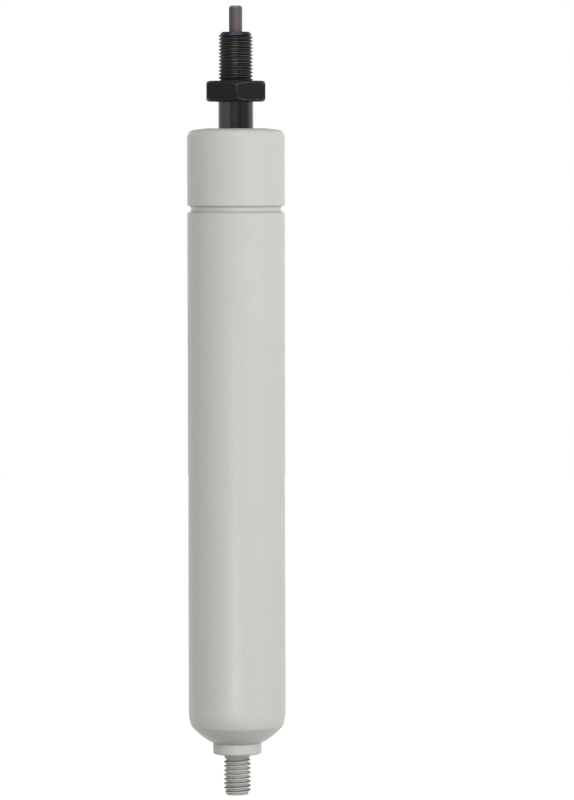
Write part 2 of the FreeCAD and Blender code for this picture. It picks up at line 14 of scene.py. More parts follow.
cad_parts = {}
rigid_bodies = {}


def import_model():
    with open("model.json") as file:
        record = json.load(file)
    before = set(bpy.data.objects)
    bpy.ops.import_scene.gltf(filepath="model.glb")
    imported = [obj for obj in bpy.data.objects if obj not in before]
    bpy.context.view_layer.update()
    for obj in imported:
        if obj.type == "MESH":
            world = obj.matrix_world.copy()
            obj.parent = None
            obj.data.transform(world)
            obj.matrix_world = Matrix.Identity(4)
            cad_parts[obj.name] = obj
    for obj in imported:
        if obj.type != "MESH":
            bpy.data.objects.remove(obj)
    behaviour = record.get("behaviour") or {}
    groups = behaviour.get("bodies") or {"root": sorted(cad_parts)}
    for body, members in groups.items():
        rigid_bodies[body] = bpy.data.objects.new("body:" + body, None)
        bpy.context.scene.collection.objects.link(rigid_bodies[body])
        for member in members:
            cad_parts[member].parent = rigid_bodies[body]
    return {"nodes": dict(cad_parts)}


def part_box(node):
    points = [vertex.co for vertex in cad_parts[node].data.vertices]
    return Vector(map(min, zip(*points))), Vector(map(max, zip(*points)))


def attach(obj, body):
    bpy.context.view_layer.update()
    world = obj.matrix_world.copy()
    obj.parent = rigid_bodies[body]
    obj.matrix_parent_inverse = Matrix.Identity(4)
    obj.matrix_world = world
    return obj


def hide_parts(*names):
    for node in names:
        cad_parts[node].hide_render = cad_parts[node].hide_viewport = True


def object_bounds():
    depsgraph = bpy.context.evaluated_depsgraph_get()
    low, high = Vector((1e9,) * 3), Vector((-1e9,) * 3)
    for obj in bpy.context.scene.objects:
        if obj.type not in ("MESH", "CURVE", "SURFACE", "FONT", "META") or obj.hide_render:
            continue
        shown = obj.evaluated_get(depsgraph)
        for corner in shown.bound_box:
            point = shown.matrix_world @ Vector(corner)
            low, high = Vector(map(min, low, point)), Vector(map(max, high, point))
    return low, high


bl_info = {
    "name": "Lockable gas spring",
    "version": (1, 0, 0),
    "blender": (4, 5, 0),
    "location": "View3D > Sidebar > Gas spring",
    "description": "Builds the looks of a lockable gas spring round its solids",
    "category": "Object",
}

for left_over in list(bpy.data.objects):
    bpy.data.objects.remove(left_over)

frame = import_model()
CAD_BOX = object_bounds()

# Places of the solids
TUBE_LOW, TUBE_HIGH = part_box("pressure_tube")
STUD_LOW, STUD_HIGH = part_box("end_stud")
ROD_LOW, ROD_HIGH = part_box("piston_rod")
NUT_LOW, NUT_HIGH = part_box("lock_nut")
PIN_LOW, PIN_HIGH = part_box("release_pin")
PISTON_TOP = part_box("piston_body")[1].z
GUIDE_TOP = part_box("guide_bush")[1].z

# Share of a thread's depth at places along its pitch, from the middle of the crest
THREAD_FORM = (
    (0.05, 0.0),
    (0.085, 0.04),
    (0.40, 0.93),
    (0.455, 0.99),
    (0.50, 1.0),
    (0.545, 0.99),
    (0.60, 0.93),
    (0.915, 0.04),
    (0.95, 0.0),
)
THREAD_DEPTH = 0.6134
SPARE_TURNS = 2

# Share of the painted highlight on the crests of the rod's thread, at places across its front
CREST_HIGHLIGHT_ACROSS_FRONT = (
    (-0.0044, 0.02),
    (-0.0016, 0.15),
    (-0.0009, 0.8),
    (0.0006, 0.8),
    (0.0011, 0.45),
    (0.0016, 0.95),
    (0.0026, 0.9),
    (0.0036, 0.4),
    (0.0048, 0.05),
)

# Share of the wear and the painted highlights on the rod's thread, at heights from the nut to the rod's
# end
FREE_TURNS = (
    (NUT_HIGH.z, 0.0),
    (NUT_HIGH.z + 0.0003, 1.0),
    (ROD_HIGH.z - 0.0035, 1.0),
    (ROD_HIGH.z - 0.0016, 0.3),
    (ROD_HIGH.z - 0.0012, 0.0),
)

# Share of the wear on the flanks of the stud's thread, at heights from its tip to the collar
RUBBED_TURNS = (
    (-0.0105, 1.0),
    (-0.0085, 1.0),
    (-0.006, 0.8),
    (-0.004, 0.78),
    (-0.0025, 0.88),
    (-0.0012, 1.0),
)

# Wear of the nut's edges, from none at 0 to bare steel at 1
LOWER_EDGE_WEAR = 1.0
UPPER_EDGE_WEAR = 0.6
MOUTH_WEAR = 0.6
CHAMFER_WEAR = 0.1

# Brightness of the tent in reflections, at angles in degrees to the right of the camera
TENT_WALL = (
    (-180, 1.0),
    (-100, 0.9),
    (-75, 1.0),
    (-46, 1.22),
    (-31, 0.38),
    (-12, 0.65),
    (4, 0.62),
    (22, 0.25),
    (40, 0.4),
    (76, 0.46),
    (85, 0.55),
    (98, 1.15),
    (125, 1.23),
    (180, 1.0),
)

# Heights at which the tent's roof and the lamp in it begin and are full, from 0 level to 1 overhead
ROOF_START = 0.2
ROOF_FULL = 0.6
CEILING_START = 0.9
CEILING_FULL = 0.97

# Fineness of the meshes
ARC_STEP = math.radians(6)
WALL_STEP = 0.006
GUARD = 0.0003
SHARP_ANGLE = math.radians(40)
ON_AXIS = 1e-9
SAME_SPOT = 1e-7
FLOOR_SIDES = 96

# Finishes: the paint's name, roughness of the rod, and noises drawn out into streaks and rings
PAINT_NAME = "satin_grey_paint"
SHANK_ROUGHNESS = 0.17
THREAD_ROUGHNESS = 0.34
GROUND_STREAKS = (1, 1, 0.02)
DRAWN_STREAKS = (1, 1, 0.08)
TURNED_RINGS = (0.05, 0.05, 6)

# Stage: gap under the lamps on the floor, height over the tube's foot that the low lamp faces, and
# the camera's sensor in millimetres
FLOOR_GAP = 0.002
LOW_AIM = 0.03
SENSOR_WIDTH = 36

AXIS = Vector((0, 0))


def length(name, about, default):
    """A size in metres."""
    return FloatProperty(name=name, description=about, default=default, precision=5, unit="LENGTH")


def angle(name, about, degrees):
    """An angle, given in degrees and kept in radians."""
    return FloatProperty(name=name, description=about, default=math.radians(degrees), subtype="ANGLE")


def share(name, about, default):
    """A number from 0 to 1."""
    return FloatProperty(name=name, description=about, default=default, min=0, max=1, subtype="FACTOR")


def amount(name, about, default, unit="NONE"):
    """A number from 0 up, plain or in a unit."""
    return FloatProperty(name=name, description=about, default=default, min=0, unit=unit)


def count(name, about, default, least):
    """A whole number."""
    return IntProperty(name=name, description=about, default=default, min=least)


def colour(name, about, default):
    """A colour in linear light."""
    kind = {"min": 0, "max": 1, "subtype": "COLOR"}
    return FloatVectorProperty(name=name, description=about, default=default, **kind)


class TubeSizes(bpy.types.PropertyGroup):
    """The pressure tube: its rolled rim, its groove and its spun end."""

    columns: count("Columns", "Faces round the tube", 192, 24)
    wall: length("Wall", "Thickness of the tube's wall", 0.0015)
    rim_hole: length("Rim hole", "Radius of the hole that the rod comes through", 0.0075)
    rim_slope: angle("Rim slope", "Fall of the rim's top towards the wall", 6)
    rim_lip: length("Rim lip", "Radius of the rim's inner edge", 0.0006)
    rim_inside: length("Rim inside", "Radius of the corner under the rim", 0.0004)
    shoulder: length("Shoulder", "Radius where the rim turns into the wall", 0.0023)
    groove_drop: length("Groove drop", "Middle of the groove under the top", 0.02315)
    groove_width: length("Groove width", "Width of the rolled groove between its shoulders", 0.00275)
    groove_depth: length("Groove depth", "Depth of the rolled groove", 0.0011)
    groove_shoulder: length("Groove shoulder", "Radius of the groove's edges", 0.00045)
    bend: length("Bend", "Radius of the wall's turn into the spun end", 0.0125)
    bend_angle: angle("Bend angle", "How far the wall turns before the knuckle", 20)
    knuckle: length("Knuckle", "Radius of the soft crease round the spun end", 0.0015)
    crown: length("Crown", "Radius of the spun end under the knuckle", 0.02)
    crown_height: length("Crown height", "Height of the knuckle over the collar", 0.00494)
    weld_hole: length("Weld hole", "Radius of the hole for the stud's spigot", 0.00452)


class StudSizes(bpy.types.PropertyGroup):
    """The end stud: its collar and its M8 thread."""

    columns: count("Columns", "Faces round the stud", 128, 24)
    edge: length("Collar edge", "Radius of the collar's lower edge", 0.00075)
    weld: length("Weld edge", "Radius of the collar's upper edge", 0.0003)
    weld_fill: length("Weld fill", "Radius of the paint that fills the seam over the collar", 0.000085)
    radius: length("Thread radius", "Outside radius of the thread", 0.00394)
    pitch: length("Pitch", "Rise of one turn of the thread", 0.00125)
    start: share("Start", "Part of a turn at which the thread starts", 0.02)
    tip_radius: length("Tip radius", "Radius of the stud's end face", 0.003)
    tip_length: length("Tip length", "Length of the cone at the stud's end", 0.0015)
    tip_edge: length("Tip edge", "Rounding of the end face's edge", 0.0002)
    neck: length("Neck radius", "Radius of the thread's painted run-out at the collar", 0.0037)
    run_out: length("Run-out", "Length under the collar that the paint fills", 0.0013)
    root_fillet: length("Root fillet", "Rounding between the neck and the collar", 0.00025)
    spigot: length("Spigot radius", "Radius of the spigot welded into the tube", 0.0045)


class RodSizes(bpy.types.PropertyGroup):
    """The hollow rod and its M10 x 1 thread."""

    columns: count("Columns", "Faces round the rod", 144, 24)
    spigot: length("Spigot radius", "Radius of the end that carries the piston", 0.004)
    bore: length("Bore", "Radius of the bore for the release pin", 0.002)
    thread_radius: length("Thread radius", "Outside radius of the thread", 0.00494)
    pitch: length("Pitch", "Rise of one turn of the thread", 0.001)
    start: share("Start", "Part of a turn at which the thread starts", 0.34)
    run_out: length("Run-out", "Length over which the thread begins", 0.0012)
    chamfer: length("Chamfer", "Chamfer on the threaded end", 0.0011)
    mouth: length("Mouth", "Chamfer of the bore's mouth", 0.00025)
    edge: length("Edge", "Rounding of the end face's edges", 0.00012)


class NutSizes(bpy.types.PropertyGroup):
    """The thin hexagon nut."""

    flat_steps: count("Flat steps", "Faces along each flat", 12, 2)
    corner_steps: count("Corner steps", "Faces round each corner", 4, 1)
    bore: length("Bore", "Radius of the hole", 0.00499)
    countersink: length("Countersink", "Width of the countersinks", 0.0005)
    face_inset: length("Face inset", "How far the round faces lie inside the flats", 0.0006)
    chamfer_angle: angle("Chamfer angle", "Slope of the chamfers", 30)
    corner: length("Corner", "Rounding of the upright edges", 0.0003)
    turn: angle("Turn", "How far the nut is turned on the thread", 1.8)
    slack: length("Slack", "How far each flat lies inside its nominal place", 0.00013)
    edge: length("Edge", "Softening of the chamfer's edges", 0.00012)
    worn_width: length("Worn width", "How far the wear reaches in from the edges", 0.00022)


class PinSizes(bpy.types.PropertyGroup):
    """The release pin."""

    columns: count("Columns", "Faces round the pin", 96, 24)
    edge: length("Edge", "Rounding of the end that is pressed", 0.0007)
    dome: length("Dome", "Radius of the domed end", 0.008)


class Finishes(bpy.types.PropertyGroup):
    """Colours of the finishes, in linear light."""

    paint: colour("Paint", "Light grey paint of the tube", (0.62, 0.615, 0.575))
    bare_stud: colour("Bare stud", "Steel laid bare along the stud's thread", (0.052, 0.052, 0.046))
    nitrided: colour("Nitrided steel", "Black of the rod", (0.054, 0.054, 0.059))
    # A painted warm reflection on the rod's left side.
    warm_reflection_tint: colour("Nitrided, warm", "Brown bloom on one side of the rod", (0.062, 0.057, 0.053))
    nitrided_violet: colour("Nitrided, violet", "Heat tint at the rod's end", (0.062, 0.055, 0.072))
    blackened: colour("Blackened steel", "Black oxide of the nut", (0.019, 0.019, 0.019))
    # Worn steel on the nut's edges, painted brighter on the right-hand side as a highlight.
    worn: colour("Worn edge", "Steel that shows through on the nut's edges", (0.13, 0.125, 0.12))
    # Worn steel on the crests of the rod's thread, brightened across the front as a painted highlight; at
    # half strength it is also the painted highlight in the thread's roots.
    thread_wear_and_highlight: colour("Worn thread", "Steel that shows through on the crests", (0.3, 0.28, 0.26))
    pin_steel: colour("Pin steel", "Dull drawn steel of the release pin", (0.155, 0.136, 0.13))
    pin_worn: colour("Pin's edge", "Brighter steel on the pin's end", (0.38, 0.365, 0.35))
    steel: colour("Bright steel", "Turned steel of the inner pieces", (0.5, 0.5, 0.5))
    aluminium: colour("Aluminium", "Guide, piston and floating piston", (0.55, 0.55, 0.55))
    bronze: colour("Bronze", "Plain bearing and valve sleeve", (0.45, 0.3, 0.14))
    rubber: colour("Rubber", "Seals", (0.02, 0.02, 0.02))
    plastic: colour("Glide plastic", "Piston's glide ring", (0.09, 0.11, 0.1))


def lamp_settings(kind, power, azimuth, elevation, distance, width, height):
    """The class of settings of one lamp."""
    of_lamp = f"of the {kind} lamp"
    settings = {
        "power": amount("Power", f"Power {of_lamp} in watts", power, "POWER"),
        "azimuth": angle("Azimuth", f"Direction {of_lamp}, to the right of the camera", azimuth),
        "elevation": angle("Elevation", f"Height {of_lamp} over the horizon", elevation),
        "distance": length("Distance", f"Distance {of_lamp}", distance),
        "width": length("Width", f"Width {of_lamp}", width),
        "height": length("Height", f"Height {of_lamp} from edge to edge", height),
    }
    contents = {"__doc__": f"The {kind} lamp.", "__annotations__": settings}
    return type(f"{kind.title()}Lamp", (bpy.types.PropertyGroup,), contents)


# Power in watts, azimuth and elevation in degrees, distance, width and height of each lamp
KeyLamp = lamp_settings("key", 14, 42, 8, 1.6, 1.2, 1.2)
BackLamp = lamp_settings("back", 7, 180, 3, 1.6, 0.4, 0.4)
FrontLamp = lamp_settings("front", 1.3, 6, 34, 1.2, 0.16, 0.16)
LowLamp = lamp_settings("low", 0.18, -3, 0, 0.45, 0.05, 0.05)
GlintLamp = lamp_settings("glint", 0.012, -6, 0, 0.12, 0.08, 0.03)


class StageSettings(bpy.types.PropertyGroup):
    """Camera, lamps and floor."""

    lens: amount("Lens", "Focal length in millimetres", 255.5, "CAMERA")
    distance: length("Distance", "Camera's distance from the axis", 1.63)
    height: length("Height", "Camera's height", 0.18)
    aim: length("Aim", "Height that the camera looks at", 0.10206)
    aside: length("Aside", "How far the camera stands to the right of the axis", 0.01452)
    roll: angle("Roll", "Camera's roll", -0.11)
    wall_light: amount("Wall light", "Light that the tent gives from its walls", 0.77)
    roof_light: amount("Roof light", "Light that the tent gives from its roof", 0.47)
    roof_shine: share("Roof shine", "Brightness of the roof in reflections, against the walls", 0.3)
    ceiling_shine: amount("Ceiling shine", "Brightness of the lamp in the roof, in reflections", 2.2)
    key: PointerProperty(type=KeyLamp)
    back: PointerProperty(type=BackLamp)
    front: PointerProperty(type=FrontLamp)
    low: PointerProperty(type=LowLamp)
    glint: PointerProperty(type=GlintLamp)
    floor_radius: length("Floor radius", "Radius of the floor", 1.5)
    floor_colour: colour("Floor", "Pale floor", (0.34, 0.34, 0.34))
    floor_glow: share("Floor glow", "White that the camera sees in the floor besides its light", 0.86)


class GasSpring(bpy.types.PropertyGroup):
    """All sizes, colours and settings."""

    tube: PointerProperty(type=TubeSizes)
    stud: PointerProperty(type=StudSizes)
    rod: PointerProperty(type=RodSizes)
    nut: PointerProperty(type=NutSizes)
    pin: PointerProperty(type=PinSizes)
    finishes: PointerProperty(type=Finishes)
    stage: PointerProperty(type=StageSettings)


# Half-sections, as lists of radius and height


def place(radius, height):
    """A point of a half-section."""
    return Vector((radius, height))


def on_circle(centre, size, turn):
    """The point of a circle at an angle, measured from the first of its plane's two directions."""
    return centre + size * Vector((math.cos(turn), math.sin(turn)))


def angle_from(centre, end):
    """The angle at which a point lies from a centre."""
    return math.atan2(end.y - centre.y, end.x - centre.x)


def arc(centre, size, first, last):
    """Points along an arc, both ends included."""
    steps = max(2, math.ceil(abs(last - first) / ARC_STEP))
    return [on_circle(centre, size, first + (last - first) * n / steps) for n in range(steps + 1)]


def wall(low, high):
    """Points between two ends of a long straight wall, with one close to each end."""
    run = high - low
    inner = run.length - 2 * GUARD
    steps = max(1, math.ceil(inner / WALL_STEP))
    way = run.normalized()
    return [low + way * (GUARD + inner * n / steps) for n in range(steps + 1)]


def softened(before, corner, after, size):
    """Points of the small arc that rounds a corner between two straight edges."""
    back = (before - corner).normalized()
    ahead = (after - corner).normalized()
    half = math.acos(max(-1, min(1, back.dot(ahead)))) / 2
    centre = corner + (back + ahead).normalized() * (size / math.sin(half))
    first = angle_from(centre, corner + back * (size / math.tan(half)))
    last = angle_from(centre, corner + ahead * (size / math.tan(half)))
    turn = (last - first + math.pi) % (2 * math.pi) - math.pi
    return arc(centre, size, first, first + turn)


def arc_centre(low, high, size):
    """The centre of the arc of a given radius that bulges down and out between two points."""
    across = high - low
    half = across.length / 2
    inwards = Vector((-across.y, across.x)).normalized()
    return (low + high) / 2 + inwards * math.sqrt(size**2 - half**2)


def outer_meeting(one, one_size, other, other_size):
    """Where two circles meet, on the side that lies further from the axis."""
    gap = (other - one).length
    along = (gap**2 + one_size**2 - other_size**2) / (2 * gap)
    way = (other - one) / gap
    aside = Vector((-way.y, way.x)) * math.sqrt(one_size**2 - along**2)
    return max((one + way * along + aside, one + way * along - aside), key=lambda end: end.x)


def without_repeats(spots):
    """Drops points that lie on the one before."""
    kept = spots[:1]
    for spot in spots[1:]:
        if (spot - kept[-1]).length > SAME_SPOT:
            kept.append(spot)
    return kept


def into_scene(name, data):
    """Puts a new object into the scene."""
    made = bpy.data.objects.new(name, data)
    bpy.context.scene.collection.objects.link(made)
    return made


class Turning:
    """A mesh turned about the upright axis, row by row, in columns at given angles."""

    def __init__(self, turns):
        self.turns = turns
        self.points = []
        self.wear = []
        self.faces = []
        self.first = None
        self.last = None

    def vertex(self, column, radius, height, wear=0.0):
        """Adds a point of a column, with the wear of its finish, and returns its number."""
        turn = self.turns[column]
        self.points.append((radius * math.cos(turn), radius * math.sin(turn), height))
        self.wear.append(wear)
        return len(self.points) - 1

    def face(self, corners):
        """Adds a face, unless its corners have run together."""
        corners = list(dict.fromkeys(corners))
        if len(corners) > 2:
            self.faces.append(corners)

    def join(self, low, high):
        """Adds the faces between two rows."""
        for column in range(len(self.turns)):
            beside = (column + 1) % len(self.turns)
            self.face((low[column], low[beside], high[beside], high[column]))

    def follow(self, row):
        """Joins a row to the last one."""
        if self.last:
            self.join(self.last, row)
        else:
            self.first = row
        self.last = row

    def row(self, *levels):
        """Adds a row from radii, heights and wear, each a list or one number for all columns."""
        lists = [level if isinstance(level, list) else [level] * len(self.turns) for level in levels]
        self.follow([self.vertex(column, *point) for column, point in enumerate(zip(*lists))])

    def ring(self, spot, wear=0.0):
        """Adds a round row, or one point where it lies on the axis."""
        if spot.x < ON_AXIS:
            self.follow([self.vertex(0, 0, spot.y, wear)] * len(self.turns))
        else:
            self.row(spot.x, spot.y, wear)

    def rings(self, spots, wear=0.0):
        """Adds a round row for each point of a half-section."""
        for spot in spots:
            self.ring(spot, wear)

    def thread(self, end, end_wear, pitch, start, radius_at):
        """Winds a right-handed thread from the last ring up to a ring at an end point."""
        columns = len(self.turns)
        low_ring = self.last
        low = self.points[low_ring[0]][2]
        high_ring = [self.vertex(column, end.x, end.y, end_wear) for column in range(columns)]
        made = {}

        def number(column, line):
            """The number of the point where a line of the thread crosses a column."""
            if column == columns:
                column, line = 0, line + len(THREAD_FORM)
            spot, depth = THREAD_FORM[line % len(THREAD_FORM)]
            turn = line // len(THREAD_FORM) - SPARE_TURNS
            height = low + pitch * (turn + spot + start + column / columns)
            if height <= low:
                return low_ring[column]
            if height >= end.y:
                return high_ring[column]
            if (column, line) not in made:
                made[column, line] = self.vertex(column, radius_at(height, depth), height, 1 - depth)
            return made[column, line]

        for line in range(len(THREAD_FORM) * math.ceil((end.y - low) / pitch + SPARE_TURNS)):
            for column in range(columns):
                lower = number(column, line), number(column + 1, line)
                upper = number(column + 1, line + 1), number(column, line + 1)
                self.face(lower + upper)
        self.last = high_ring

    def close(self):
        """Joins the last row to the first."""
        self.join(self.last, self.first)

    def piece(self, name, *materials):
        """Makes the mesh into an object with its finishes."""
        mesh = bpy.data.meshes.new(name)
        mesh.from_pydata(self.points, [], self.faces)
        mesh.attributes.new("wear", "FLOAT", "POINT").data.foreach_set("value", self.wear)
        mesh.validate()
        mesh.shade_smooth()
        mesh.set_sharp_from_angle(angle=SHARP_ANGLE)
        for material in materials:
            mesh.materials.append(material)
        return into_scene(name, mesh)


def evenly(parts):
    """Angles spread evenly round the axis."""
    return [2 * math.pi * n / parts for n in range(parts)]


def settle(piece, body, node):
    """Puts a piece on its body, in the place of its solid, with the record's finish."""
    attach(piece, body)
    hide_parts(node)


def smooth_step(low, high, value):
    """Rises smoothly from 0 to 1 between two values."""
    part = max(0, min(1, (value - low) / (high - low)))
    return part * part * (3 - 2 * part)


# Finishes


class Nodes:
    """The nodes of a material or of the world, with helpers that lay them out."""

    def __init__(self, tree):
        self.tree = tree

    def node(self, kind, **settings):
        """Adds a node with its settings."""
        made = self.tree.nodes.new(kind)
        for key, value in settings.items():
            setattr(made, key, value)
        return made

    def feed(self, socket, value):
        """Links a socket to another one, or sets it to a value."""
        if isinstance(value, bpy.types.NodeSocket):
            self.tree.links.new(value, socket)
        else:
            socket.default_value = value

    def coordinate(self, kind):
        """A texture coordinate, by the name of its output."""
        return self.node("ShaderNodeTexCoord").outputs[kind]

    def parts(self, vector):
        """The parts of a vector along X, Y and Z."""
        split = self.node("ShaderNodeSeparateXYZ")
        self.feed(split.inputs["Vector"], vector)
        return split.outputs

    def joined(self, operation, *values):
        """Some numbers or sockets, joined one after the other by an operation."""
        total = values[0]
        for value in values[1:]:
            node = self.node("ShaderNodeMath", operation=operation)
            self.feed(node.inputs[0], total)
            self.feed(node.inputs[1], value)
            total = node.outputs["Value"]
        return total

    def times(self, *values):
        """The product of some numbers or sockets."""
        return self.joined("MULTIPLY", *values)

    def spread(self, value, low, high, start=0.3, stop=0.7):
        """Maps a value to a range, from another or, if none is given, from the one that a noise fills."""
        node = self.node("ShaderNodeMapRange")
        for name, bound in (("From Min", start), ("From Max", stop), ("To Min", low), ("To Max", high)):
            self.feed(node.inputs[name], bound)
        self.feed(node.inputs["Value"], value)
        return node.outputs["Result"]

    def scaled(self, value, low, high):
        """Maps a value from the range of 0 to 1 to another."""
        return self.spread(value, low, high, 0, 1)

    def ramp(self, value, marks):
        """A level by a value from 0 to 1, with straight runs between marks of a value and a level."""
        node = self.node("ShaderNodeValToRGB")
        stops = node.color_ramp.elements
        for spot, _ in marks[1:-1]:
            stops.new(spot)
        for stop, (spot, level) in zip(stops, marks):
            stop.position = spot
            stop.color = (level, level, level, 1)
        self.feed(node.inputs["Fac"], value)
        return node.outputs["Color"]

    def between(self, factor, first, second):
        """A number between two, by a factor. Each may be a number or a socket."""
        node = self.node("ShaderNodeMix")
        self.feed(node.inputs["Factor"], factor)
        self.feed(node.inputs[2], first)
        self.feed(node.inputs[3], second)
        return node.outputs[0]

    def mixed(self, factor, first, second):
        """A colour between two, by a factor. Each may be a colour or a socket."""
        node = self.node("ShaderNodeMix", data_type="RGBA")
        self.feed(node.inputs["Factor"], factor)
        for socket, value in ((node.inputs[6], first), (node.inputs[7], second)):
            self.feed(socket, value if isinstance(value, bpy.types.NodeSocket) else (*value, 1))
        return node.outputs[2]

    def rays(self, *kinds):
        """1 for the kinds of rays that are named, and 0 for others."""
        path = self.node("ShaderNodeLightPath")
        return self.joined("MAXIMUM", *(path.outputs[f"Is {kind} Ray"] for kind in kinds))


class Finish(Nodes):
    """A material with the helpers that lay out its nodes."""

    def __init__(self, name):
        self.material = bpy.data.materials.new(name)
        self.material.use_nodes = True
        super().__init__(self.material.node_tree)
        self.shader = self.tree.nodes["Principled BSDF"]

    def set(self, **values):
        """Sets or links the shader's sockets, named with underscores for spaces."""
        for key, value in values.items():
            self.feed(self.shader.inputs[key.replace("_", " ")], value)

    def bump(self, height, distance, strength):
        """Raises the surface by a height."""
        node = self.node("ShaderNodeBump")
        self.feed(node.inputs["Distance"], distance)
        self.feed(node.inputs["Strength"], strength)
        self.feed(node.inputs["Height"], height)
        self.set(Normal=node.outputs["Normal"])

    def noise(self, scale, detail, stretch=(1, 1, 1)):
        """A noise of so many grains to the metre, stretched along the piece's axes."""
        mapping = self.node("ShaderNodeMapping")
        self.feed(mapping.inputs["Scale"], stretch)
        self.feed(mapping.inputs["Vector"], self.coordinate("Object"))
        texture = self.node("ShaderNodeTexNoise")
        self.feed(texture.inputs["Scale"], scale)
        self.feed(texture.inputs["Detail"], detail)
        self.feed(texture.inputs["Vector"], mapping.outputs["Vector"])
        return texture.outputs["Fac"]

    def patches(self, low):
        """A noise that breaks up the wear, from a low share of it to all of it."""
        return self.spread(self.noise(900, 3), low, 1)

    def wear(self, start=0.0, stop=1.0):
        """Rises from 0 to 1 between two levels of the wear of the piece's points."""
        attribute = self.node("ShaderNodeAttribute", attribute_name="wear")
        return self.spread(attribute.outputs["Fac"], 0, 1, start, stop)

    def along(self, axis, start, stop):
        """Rises from 0 to 1 between two places along one of the piece's axes."""
        return self.spread(self.parts(self.coordinate("Object"))[axis], 0, 1, start, stop)

    def under(self, height, start, stop):
        """Rises from 0 to 1 between two depths under a height."""
        return self.along("Z", height - start, height - stop)

    def facing_up(self, start, stop):
        """Rises from 0 to 1 as the surface turns to face up."""
        return self.spread(self.parts(self.coordinate("Normal"))["Z"], 0, 1, start, stop)

    def profile(self, axis, marks):
        """A level along one of the piece's axes, from marks of a place and a level."""
        first = marks[0][0]
        run = marks[-1][0] - first
        shares = [((spot - first) / run, level) for spot, level in marks]
        return self.ramp(self.along(axis, first, marks[-1][0]), shares)


def shade(tint, factor):
    """A colour made lighter or darker."""
    return [min(1, part * factor) for part in tint]


def paint_finish(finishes, groove_z):
    """Satin paint with a fine grain, an orange peel, faint clouds and grime in the groove.

    It is duller on the top of the rim and on the collar.
    """
    made = Finish(PAINT_NAME)
    tint = finishes.paint
    peel = made.noise(650, 2)
    grain = made.noise(1500, 3)
    cloudy = made.mixed(made.noise(90, 3), shade(tint, 0.97), shade(tint, 1.03))
    peeled = made.mixed(made.spread(peel, 0, 0.3), cloudy, shade(tint, 0.93))
    # Painted shade: a darker band on the lower flank of the groove, under its middle.
    groove_shade = made.times(made.under(groove_z, 0.0001, 0.0005), made.under(groove_z, 0.0012, 0.0008))
    rim = made.under(TUBE_HIGH.z, 0.0014, 0.0004)
    collar = made.under(TUBE_LOW.z, -0.0001, 0.0001)
    duller = made.times(made.scaled(rim, 1, 1.8), made.scaled(collar, 1, 1.3))
    made.set(
        Base_Color=made.mixed(groove_shade, peeled, shade(tint, 0.78)),
        Roughness=made.times(made.spread(grain, 0.28, 0.38), duller),
    )
    made.bump(made.between(0.5, grain, peel), distance=0.00015, strength=0.85)
    return made.material


def stud_thread_finish(finishes, thread_top):
    """The same paint on the thread, rubbed off to dark steel by a nut along its upper flanks."""
    made = Finish("stud_thread_paint")
    tint = finishes.paint
    grain = made.noise(3000, 3)
    painted = made.mixed(made.noise(700, 3), shade(tint, 0.7), shade(tint, 0.88))
    below_collar = made.under(thread_top, 0.0006, 0.0009)
    # Painted highlight: the crests are lighter than the paint itself.
    crests = made.times(made.wear(0.5, 0.75), below_collar)
    crest_highlighted = made.mixed(crests, painted, shade(tint, 1.28))
    flanks = made.times(made.facing_up(0.1, 0.5), made.wear(0.12, 0.4))
    turns = made.profile("Z", RUBBED_TURNS)
    rubbed = made.times(flanks, below_collar, turns, made.patches(0.7))
    made.set(
        Base_Color=made.mixed(rubbed, crest_highlighted, finishes.bare_stud),
        Roughness=made.spread(grain, 0.42, 0.58),
    )
    made.bump(grain, distance=0.00003, strength=0.3)
    return made.material


def nitrided_finish(finishes, name, rough):
    """Ground steel, nitrided near black, with a brown bloom on one side and a violet end.

    The crests of the free turns of its thread are rubbed bright.
    """
    made = Finish(name)
    tint = finishes.nitrided
    rings = made.noise(1500, 2, TURNED_RINGS)
    streaks = made.noise(900, 2, GROUND_STREAKS)
    black = made.mixed(streaks, shade(tint, 0.85), shade(tint, 1.15))
    # Painted reflection: a warmer tint on the rod's left side.
    sheen = made.mixed(made.along("X", -0.0016, -0.0022), black, finishes.warm_reflection_tint)
    end = made.under(ROD_HIGH.z, 0.0024, 0.001)
    tinted = made.mixed(end, sheen, finishes.nitrided_violet)
    broken = made.spread(made.noise(420, 3), 0.3, 1, 0.35, 0.65)
    # Painted highlight across the front of the thread, on the turns that stand free of the nut, where the
    # crests are also worn.
    rubbed = made.times(made.profile("X", CREST_HIGHLIGHT_ACROSS_FRONT), made.profile("Z", FREE_TURNS))
    crests = made.times(made.wear(0.93, 1.0), rubbed, broken)
    # Painted highlight in the roots of the thread.
    root_highlights = made.times(made.wear(0.12, 0.0), rubbed)
    lit = made.mixed(root_highlights, tinted, shade(finishes.thread_wear_and_highlight, 0.5))
    made.set(
        Metallic=1.0,
        Base_Color=made.mixed(crests, lit, finishes.thread_wear_and_highlight),
        Roughness=made.spread(rings, rough, rough + 0.08),
    )
    made.bump(rings, distance=0.000004, strength=0.2)
    return made.material


def blackened_finish(finishes):
    """Black oxide, dull, with fine tool marks and worn edges."""
    made = Finish("black_oxide")
    grain = made.noise(1800, 4)
    # Painted highlight: the worn edges are full on the right, where the key lamp falls, and a quarter as
    # strong on the left.
    lit_side = made.scaled(made.along("X", -0.0008, 0.0002), 0.25, 1)
    flaked = made.spread(made.noise(800, 4), 0.05, 1, 0.4, 0.6)
    edges = made.times(made.wear(), lit_side, flaked)
    made.set(
        Specular_IOR_Level=0.06,
        Base_Color=made.mixed(edges, finishes.blackened, finishes.worn),
        Roughness=made.spread(grain, 0.4, 0.56),
    )
    made.bump(grain, distance=0.00001, strength=0.35)
    return made.material


